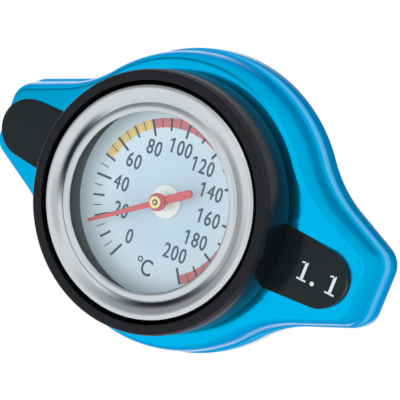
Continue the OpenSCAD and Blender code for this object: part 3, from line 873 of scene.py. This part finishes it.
def make_spring(name, mid, wire, top, bottom, turns):
    """Round wire wound down from top to bottom, with both ends closed."""
    half = wire / 2
    section = [(mid + half * math.cos(a), 0, top - half + half * math.sin(a))
               for a in (math.radians(30 * k) for k in range(12))]
    piece = ring_of(name, section)
    edit(piece)
    bpy.ops.mesh.delete(type="ONLY_FACE")
    bpy.ops.object.mode_set(mode="OBJECT")
    wind = piece.modifiers.new("wind", "SCREW")
    wind.axis = "Z"
    wind.angle = 2 * math.pi * turns
    wind.screw_offset = -(top - bottom - wire) * MM
    wind.steps = wind.render_steps = int(48 * turns)
    wind.use_merge_vertices = False
    bpy.ops.object.modifier_apply(modifier=wind.name)
    edit(piece)
    bpy.ops.mesh.select_all(action="DESELECT")
    bpy.ops.mesh.select_mode(type="EDGE")
    bpy.ops.mesh.select_non_manifold()
    bpy.ops.mesh.fill_holes(sides=0)
    return close_edit(piece, 50)


def make_valve_carrier():
    bore = RIVET_R + FIT
    disc_low = low("diaphragm_disc")
    disc_top = disc_low + 0.4
    r = reach("diaphragm_disc")
    disc = [(bore, disc_low), (r, disc_low), (r, disc_top), (bore, disc_top)]
    dress(turned("diaphragm", disc, 0.12), "valve_carrier", "stainless", stainless, "diaphragm_disc")
    r, top = reach("neck_gasket"), high("neck_gasket")
    inner = r - 6
    ring = [(inner, 0), (r, 0), (r, top), (inner, top)]
    dress(turned("neck_seal", ring, 0.25), "valve_carrier", "rubber", rubber, "neck_gasket")

    r, top, bottom = reach("spring_cage"), high("spring_cage"), low("spring_cage")
    inner, seat = r - CAGE_T, top - CAGE_T
    lip_r, lip_top = inner - 1.5, bottom + CAGE_T
    section = [(bore, seat), (inner, seat), (inner, lip_top), (lip_r, lip_top),
               (lip_r, bottom), (r, bottom), (r, top), (bore, top)]
    cage = turned("valve_cage", section, 0.25)
    inside, outside, below, head = 8.5, r + 2, bottom - 1, seat - 1.4
    window = [(inside, below), (outside, below), (outside, head), (inside, head)]
    for middle in (60, 180, 300):
        carve(cage, ring_block("window", window, middle - 39, 78))
    dress(cage, "valve_carrier", "plated_steel", plated_steel, "spring_cage")

    rim = high("spring_hat")
    spring = make_spring("main_spring", 9.4, 1.3, seat, rim, 2.75)
    dress(spring, "valve_carrier", "spring_steel", spring_steel, "pressure_spring")
    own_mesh(spring)


def make_pressure_valve():
    plate_low, plate_top = low("valve_plate"), high("valve_plate")
    r, rim = reach("spring_hat"), high("spring_hat")
    hole_r, neck_in, neck_out = 5.7, 7.6, 8.4
    floor, brim = plate_top + PRESSED_T, rim - PRESSED_T
    hat = [(neck_in, rim), (neck_in, floor), (hole_r, floor), (hole_r, plate_top), (neck_out, plate_top),
           (neck_out, brim), (r, brim), (r, rim)]
    dress(turned("spring_hat_cup", hat, 0.2), "pressure_valve", "plated_steel", plated_steel, "spring_hat")
    r, bore = reach("valve_plate"), SLEEVE_R + FIT
    plate = [(bore, plate_low), (r, plate_low), (r, plate_top), (bore, plate_top)]
    dress(turned("valve_disc", plate, 0.15), "pressure_valve", "plated_steel", plated_steel, "valve_plate")
    r, bead, lip = reach("valve_gasket"), low("valve_gasket"), high("valve_gasket")
    hole_r, face, lip_in, groove_r = 5.6, bead + 1, r - 2.8, r - 1.35
    seal = [(hole_r, face), (r - 4.8, face), (r - 4.3, bead), (r, bead), (r, lip), (lip_in, lip),
            (lip_in, plate_top), (groove_r, plate_top), (groove_r, plate_low), (hole_r, plate_low)]
    dress(turned("valve_seal", seal, 0.35), "pressure_valve", "rubber", rubber, "valve_gasket")


def make_vacuum_valve():
    plate_top = high("valve_plate")
    clip_low, clip_top = low("vacuum_clip"), high("vacuum_clip")
    disc_low, sleeve_top = low("vacuum_disc"), high("vacuum_disc")
    disc_top = disc_low + PRESSED_T
    bore, disc_r, groove_r = PROBE_R + FIT, 8.0, 3.6
    sleeve = [(bore, disc_low), (disc_r, disc_low), (disc_r, disc_top), (SLEEVE_R, disc_top),
              (SLEEVE_R, clip_low), (groove_r, clip_low), (groove_r, clip_top), (SLEEVE_R, clip_top),
              (SLEEVE_R, sleeve_top), (bore, sleeve_top)]
    dress(turned("vacuum_poppet", sleeve, 0.12), "vacuum_valve", "brass", brass, "vacuum_disc")
    small = make_spring("small_spring", 4.75, 0.4, clip_low - 0.02, plate_top, 3)
    dress(small, "pressure_valve", "spring_steel", spring_steel, "vacuum_spring")
    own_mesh(small)
    clip_in, clip_out = groove_r + 0.02, 5.4
    section = [(clip_in, clip_low), (clip_out, clip_low), (clip_out, clip_top), (clip_in, clip_top)]
    clip = ring_block("retaining_clip", section, 10, 340, 60)
    dress(clip, "vacuum_valve", "stainless", stainless, "vacuum_clip")


def make_probe():
    tip, top = low("stem_plug"), high("stem_tube")
    round_r, inner, flange_r = 1.4, 2.55, 5.0
    nose = [(PROBE_R - round_r * (1 - math.sin(a)), tip + round_r * (1 - math.cos(a)))
            for a in (math.radians(10 * k) for k in range(10))]
    flange = top - 0.9
    plug = tip + 3.2
    wall = [(PROBE_R, flange), (flange_r, flange), (flange_r, top), (inner, top), (inner, plug), (0, plug)]
    piece = turned("probe_tube", [(0, tip)] + nose + wall, 0)
    dress(piece, "cap", "stainless", stainless, "stem_tube", "stem_plug")
    bottom, head = low("centre_rivet"), high("centre_rivet")
    lip, neck, bore = bottom + 0.85, head - 1, PROBE_R + FIT
    rivet = [(bore, bottom), (6.2, bottom), (6.2, lip), (RIVET_R, lip), (RIVET_R, neck),
             (6.4, neck), (6.4, head), (4.1, head), (4.1, neck), (bore, neck)]
    dress(turned("hollow_rivet", rivet, 0.15, 96), "cap", "brass", brass, "centre_rivet")


# Camera, light and floor

SKY = 1.35
# Grey spots of the tent: direction, cosine at the rim, cosine in the middle, brightness in the middle
GREY_SPOTS = (
    ((-0.79, 0.55, 0.26), 0.4, 0.95, 0.4),
    ((0.430, 0.214, 0.877), 0.92, 0.99, 0.75),
)
# Floor: its own glow, the brightness left in the painted shadow that the part mirrors, the shadow's place,
# radii in millimetres, direction in degrees and the cosines at its two sides
GLOW = 0.55
SHADOW = 0.66
SHADOW_AT = (6, 10, 0)
SHADOW_R = (38, 54)
SHADOW_SIDE = 55
SHADOW_EDGE = (0.17, 0.64)
# Lamps: name, azimuth, elevation, distance, side, watts
SOFTBOXES = (
    ("top_box", 206, 75, 0.7, 0.45, 0.98),
)
# Camera: two of its axes, its distance from the middle of the cup's rim in metres,
# the aim to the right of and above that middle in millimetres, and the lens
CAMERA_RIGHT = Vector((0.80239, 0.35405, -0.48045))
CAMERA_UP = Vector((-0.41336, 0.91037, -0.01947))
CAMERA_AWAY = 0.6236
AIM_RIGHT, AIM_UP = 9.70, 0.47
LENS = 308.2


def make_sky(scene):
    """A white studio tent with two grey spots."""
    world = bpy.data.worlds.new("studio_tent")
    scene.world = world
    world.use_nodes = True
    tree = world.node_tree
    backdrop = tree.nodes["Background"]
    backdrop.inputs["Color"].default_value = (0.97, 0.985, 1.0, 1)
    where = tree.nodes.new("ShaderNodeTexCoord").outputs["Generated"]
    level = SKY
    for direction, rim, middle, grey in GREY_SPOTS:
        spot = fade(tree, dot(tree, where, direction), rim, middle, 1.0, grey)
        level = link_value(tree, "ShaderNodeMath", "MULTIPLY", spot, level)
    tree.links.new(level, backdrop.inputs["Strength"])


def make_floor_finish():
    """Lit white card that the camera sees as plain white, and sees through from below.

    The part mirrors it with a painted soft shadow on one side, in the card's colour and glow."""
    card = finish("floor_card", "#b0b0b0", "#acacac", (0.7, 0.8), grain=40, smudge=3, bump=0.0,
                  emission_strength=GLOW)
    tree = card.node_tree
    shader = tree.nodes["Principled BSDF"]
    where = tree.nodes.new("ShaderNodeTexCoord").outputs["Object"]
    away = tree.nodes.new("ShaderNodeVectorMath")
    away.operation = "DISTANCE"
    away.inputs[1].default_value = [v * MM for v in SHADOW_AT]
    tree.links.new(where, away.inputs[0])
    # Painted shadow: the card's colour and glow darker on one side near the part
    near, far = SHADOW_R
    depth = fade(tree, away.outputs["Value"], near * MM, far * MM, 1.0 - SHADOW, 0.0)
    x, y = polar(1, SHADOW_SIDE)
    outward = link_value(tree, "ShaderNodeVectorMath", "NORMALIZE", where)
    side = fade(tree, dot(tree, outward, (x, y, 0)), *SHADOW_EDGE, 0.0, 1.0)
    dark = link_value(tree, "ShaderNodeMath", "MULTIPLY", side, depth)
    shade = link_value(tree, "ShaderNodeMath", "SUBTRACT", 1.0, dark)
    dimmed = tree.nodes.new("ShaderNodeMix")
    dimmed.data_type = "RGBA"
    dimmed.blend_type = "MULTIPLY"
    dimmed.inputs["Factor"].default_value = 1.0
    tree.links.new(shader.inputs["Base Color"].links[0].from_socket, dimmed.inputs["A"])
    tree.links.new(shade, dimmed.inputs["B"])
    tree.links.new(dimmed.outputs["Result"], shader.inputs["Base Color"])
    tree.links.new(shade, shader.inputs["Emission Color"])
    seen = tree.nodes.new("ShaderNodeLightPath")
    plain = tree.nodes.new("ShaderNodeEmission")
    mix = tree.nodes.new("ShaderNodeMixShader")
    tree.links.new(seen.outputs["Is Camera Ray"], mix.inputs["Fac"])
    tree.links.new(shader.outputs["BSDF"], mix.inputs[1])
    tree.links.new(plain.outputs["Emission"], mix.inputs[2])
    back = tree.nodes.new("ShaderNodeNewGeometry").outputs["Backfacing"]
    clear = tree.nodes.new("ShaderNodeBsdfTransparent")
    sides = tree.nodes.new("ShaderNodeMixShader")
    tree.links.new(back, sides.inputs["Fac"])
    tree.links.new(mix.outputs["Shader"], sides.inputs[1])
    tree.links.new(clear.outputs["BSDF"], sides.inputs[2])
    tree.links.new(sides.outputs["Shader"], tree.nodes["Material Output"].inputs["Surface"])
    return card


def make_stage():
    scene = bpy.context.scene
    scene.view_settings.view_transform = "Standard"
    clear_selection()
    floor_z = cad_box[0].z - 0.004
    bpy.ops.mesh.primitive_plane_add(size=6, location=(0, 0, floor_z))
    floor = bpy.context.object
    floor.name = "floor"
    floor.data.materials.append(make_floor_finish())
    make_sky(scene)
    for name, azimuth, elevation, distance, size, power in SOFTBOXES:
        x, y = polar(math.cos(math.radians(elevation)), azimuth)
        back = Vector((x, y, math.sin(math.radians(elevation))))
        data = bpy.data.lights.new(name, "AREA")
        data.shape = "SQUARE"
        data.size = size
        data.energy = power
        lamp = bpy.data.objects.new(name, data)
        scene.collection.objects.link(lamp)
        lamp.location = back * distance
        lamp.rotation_mode = "QUATERNION"
        lamp.rotation_quaternion = back.to_track_quat("Z", "Y")
        lamp.visible_glossy = False


def make_camera():
    """The photograph's camera: seen from above one wing, turned so that the cap axis leans to the left."""
    back = CAMERA_RIGHT.cross(CAMERA_UP)
    rim_centre = Vector((0, 0, rim_top)) * MM
    eye = rim_centre + CAMERA_AWAY * back
    aim = rim_centre + (AIM_RIGHT * CAMERA_RIGHT + AIM_UP * CAMERA_UP) * MM
    data = bpy.data.cameras.new("photo_camera")
    data.sensor_width = 36
    data.lens = LENS
    data.clip_start = 0.05
    data.clip_end = 20
    camera = bpy.data.objects.new("photo_camera", data)
    bpy.context.scene.collection.objects.link(camera)
    z_axis = (eye - aim).normalized()
    x_axis = CAMERA_UP.cross(z_axis).normalized()
    y_axis = z_axis.cross(x_axis)
    camera.matrix_world = Matrix.Translation(eye) @ Matrix((x_axis, y_axis, z_axis)).transposed().to_4x4()
    bpy.context.scene.camera = camera


# Assembly

make_cover()
inlay_top = make_cup()
make_pressure_number(inlay_top)
make_gauge_front()
make_band("band_yellow", 50, 80, print_yellow)
make_band("band_red", 80, 200, print_red)
make_band_lines()
make_ticks()
make_words()
make_pointer()
make_shell()
make_valve_carrier()
make_pressure_valve()
make_vacuum_valve()
make_probe()

hidden_finish = {"gauge_case": case_steel, "lens_gasket": rubber, "upper_bush": brass, "lower_bush": brass,
                 "pointer_spindle": stainless, "bimetal_helix": bimetal, "stem_oring": rubber,
                 "swivel_washer": nylon}
for node, material in hidden_finish.items():
    nodes[node].data.materials.clear()
    nodes[node].data.materials.append(material)

make_stage()
make_camera()
clear_selection()
